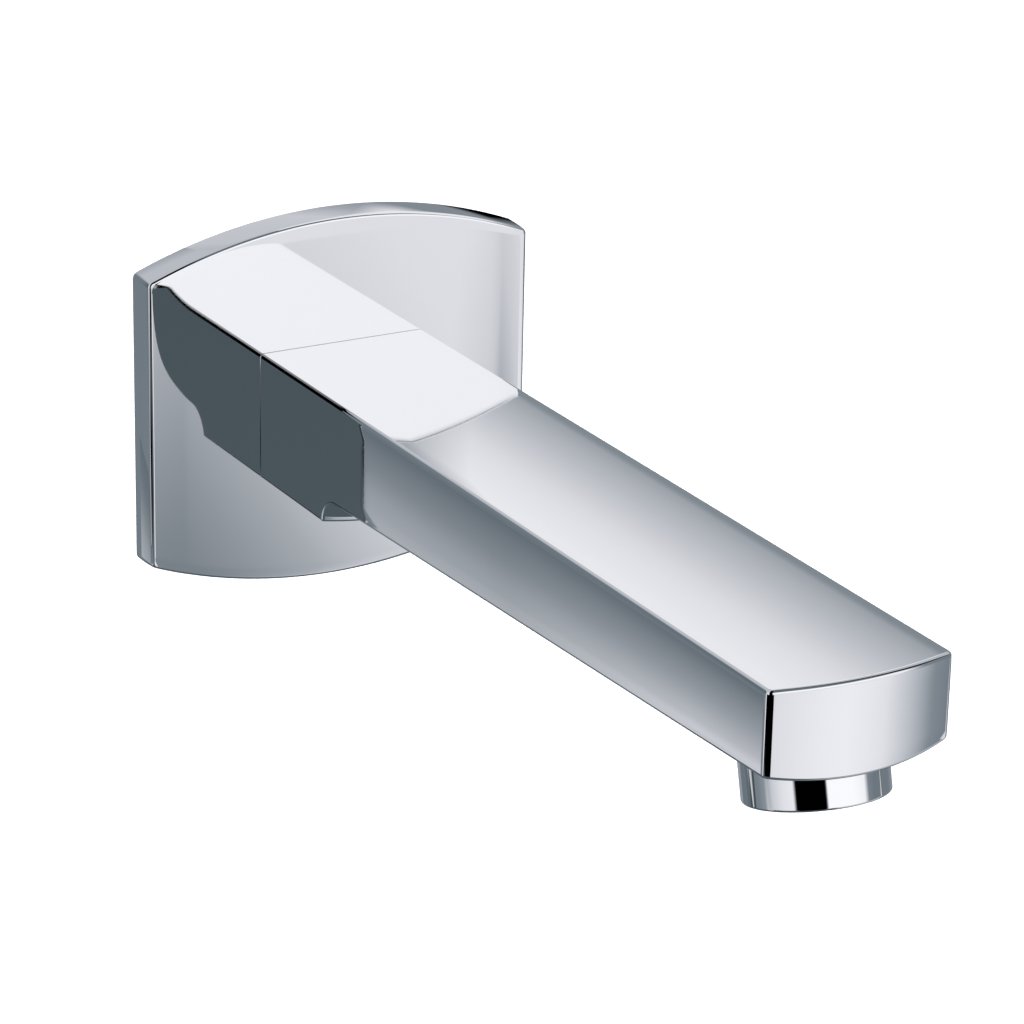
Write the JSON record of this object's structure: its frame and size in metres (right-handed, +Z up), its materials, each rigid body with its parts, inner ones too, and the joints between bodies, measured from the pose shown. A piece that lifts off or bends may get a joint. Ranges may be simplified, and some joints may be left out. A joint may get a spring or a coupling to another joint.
{
  "type": "bath spout",
  "caption": "Wall-mounted bath spout: flat-topped tapering arm with an arched underside and deep foot on a curved-edge cover plate, with a round tilted outlet and aerator.",
  "frame": {"origin": "where the axis of the inlet thread meets the wall, in the plane of the flange's back", "axes": "+Y into the wall along the inlet's axis, the spout points along -Y, +Z up, +X to the right of someone who faces the wall"},
  "size_m": [0.0976, 0.2408, 0.0878],
  "materials": {
    "chromed_casting": "polished chrome on cast brass",
    "chromed_plate": "polished chrome on a die casting",
    "chromed_ring": "polished chrome on turned brass",
    "bare_brass": "turned",
    "stainless_steel": "machined",
    "screen_steel": "woven wire",
    "seal_rubber": "matte",
    "foam": "closed-cell foam",
    "moulded_insert": "moulded",
    "moulded_grid": "moulded"
  },
  "bodies": {
    "root": {"spout_body": "chromed_casting", "wall_flange": "chromed_plate", "flange_gasket": "foam", "neck_seal_ring": "seal_rubber", "connection_nipple": "bare_brass", "nipple_washer": "seal_rubber", "nipple_o_ring_front": "seal_rubber", "nipple_o_ring_rear": "seal_rubber", "grub_screw": "stainless_steel", "outlet_collar": "chromed_ring", "collar_o_ring": "seal_rubber", "aerator_housing": "chromed_ring", "aerator_washer": "seal_rubber", "dome_strainer": "moulded_insert", "distributor_plate": "moulded_insert", "aerator_cartridge": "moulded_insert", "mixing_screen_upper": "screen_steel", "mixing_screen_lower": "screen_steel", "mixing_insert": "moulded_insert", "honeycomb_outlet": "moulded_grid"}
  },
  "joints": []
}
